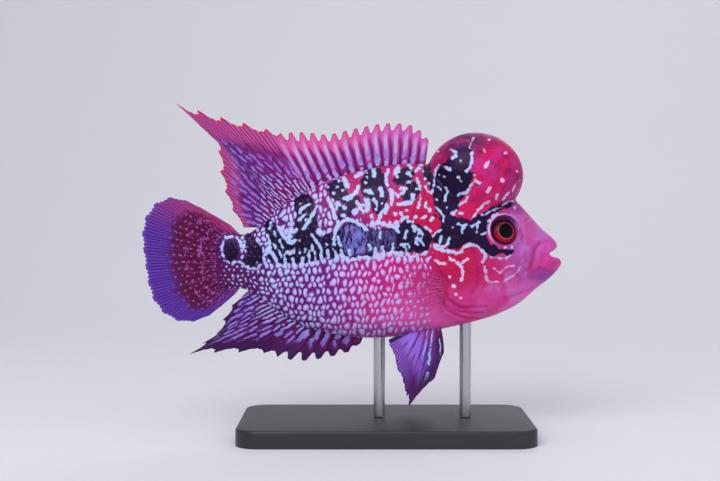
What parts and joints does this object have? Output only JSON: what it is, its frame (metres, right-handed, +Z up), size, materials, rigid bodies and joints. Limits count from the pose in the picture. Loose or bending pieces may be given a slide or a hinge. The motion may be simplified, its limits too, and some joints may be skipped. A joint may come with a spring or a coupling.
{
  "type": "flowerhorn cichlid model",
  "caption": "Life-size still model of a flowerhorn cichlid with a tall forehead hump, pointed dorsal fin and fan tail, held level above a flat base by short rods.",
  "frame": {"origin": "centre of the whole model's box, at the underside of the stand's base", "axes": "+X towards the fish's snout, +Y towards its left side, +Z up"},
  "size_m": [0.1099, 0.042, 0.0872],
  "materials": {
    "fish_skin": "moist scaled skin, crimson and plum with black blotches and pale pearl spots",
    "fin_membrane": "thin ribbed fin, wine red with pale lavender spots",
    "clear_fin": "nearly clear pink fin",
    "eye": "wet glossy eye, deep red iris and black pupil",
    "stand_base": "satin black",
    "stand_rod": "brushed"
  },
  "bodies": {
    "root": {"head": "fish_skin", "forehead_hump": "fish_skin", "upper_jaw": "fish_skin", "lower_jaw": "fish_skin", "gill_cover_left": "fish_skin", "gill_cover_right": "fish_skin", "torso": "fish_skin", "tail_stalk": "fish_skin", "dorsal_fin": "fin_membrane", "anal_fin": "fin_membrane", "caudal_fin": "fin_membrane", "pelvic_fin_left": "fin_membrane", "pelvic_fin_right": "fin_membrane", "pectoral_fin_left": "clear_fin", "pectoral_fin_right": "clear_fin", "eye_left": "eye", "eye_right": "eye", "stand_base": "stand_base", "stand_rod_back": "stand_rod", "stand_rod_front": "stand_rod"}
  },
  "joints": []
}
